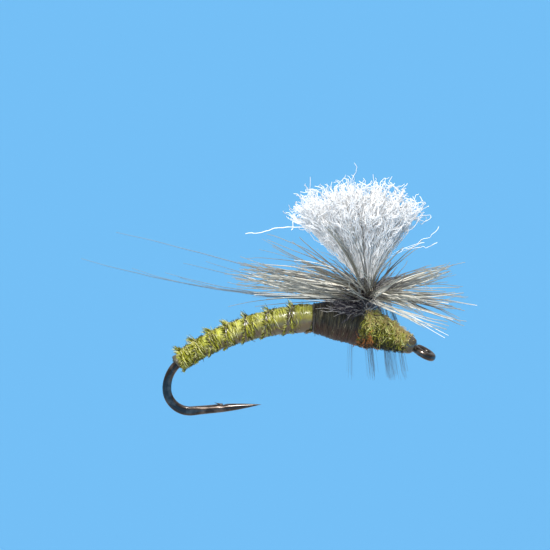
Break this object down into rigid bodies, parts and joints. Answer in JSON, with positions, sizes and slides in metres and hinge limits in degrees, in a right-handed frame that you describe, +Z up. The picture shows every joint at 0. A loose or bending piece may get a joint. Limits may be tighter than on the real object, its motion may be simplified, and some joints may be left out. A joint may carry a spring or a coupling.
{
  "type": "dry fly",
  "caption": "Parachute dry fly: an upright white yarn post with a radial dun hackle over a slim olive quill body, tied on a curved hook with a turned-down eye.",
  "frame": {"origin": "the lowest point of the hook bend's centreline, where a tying vise holds the hook", "axes": "+X towards the hook's eye, +Z up along the wing post, Y across the hook, whose wire lies in the plane Y = 0"},
  "size_m": [0.0206, 0.0132, 0.0127],
  "materials": {
    "hook_wire": "polished",
    "olive_thread": "satin",
    "dark_thread": "satin",
    "grey_thread": "satin",
    "pale_floss": "satin",
    "olive_quill": "satin",
    "white_yarn": "satin",
    "dun_feather": "satin",
    "olive_dubbing": "matte",
    "head_varnish": "gloss"
  },
  "bodies": {
    "root": {"hook": "hook_wire", "thread_foundation": "olive_thread", "biot_tie_in_wraps": "olive_thread", "abdomen_underbody": "pale_floss", "abdomen_biot": "olive_quill", "biot_butt_wraps": "olive_thread", "wing_post": "white_yarn", "wing_lashing_rear": "olive_thread", "wing_lashing_front": "olive_thread", "post_base_wraps": "grey_thread", "hackle_tie_off_wraps": "grey_thread", "hackle": "dun_feather", "thorax_winding": "dark_thread", "thorax_dubbing": "olive_dubbing", "thread_head": "olive_thread", "head_cement": "head_varnish"}
  },
  "joints": []
}
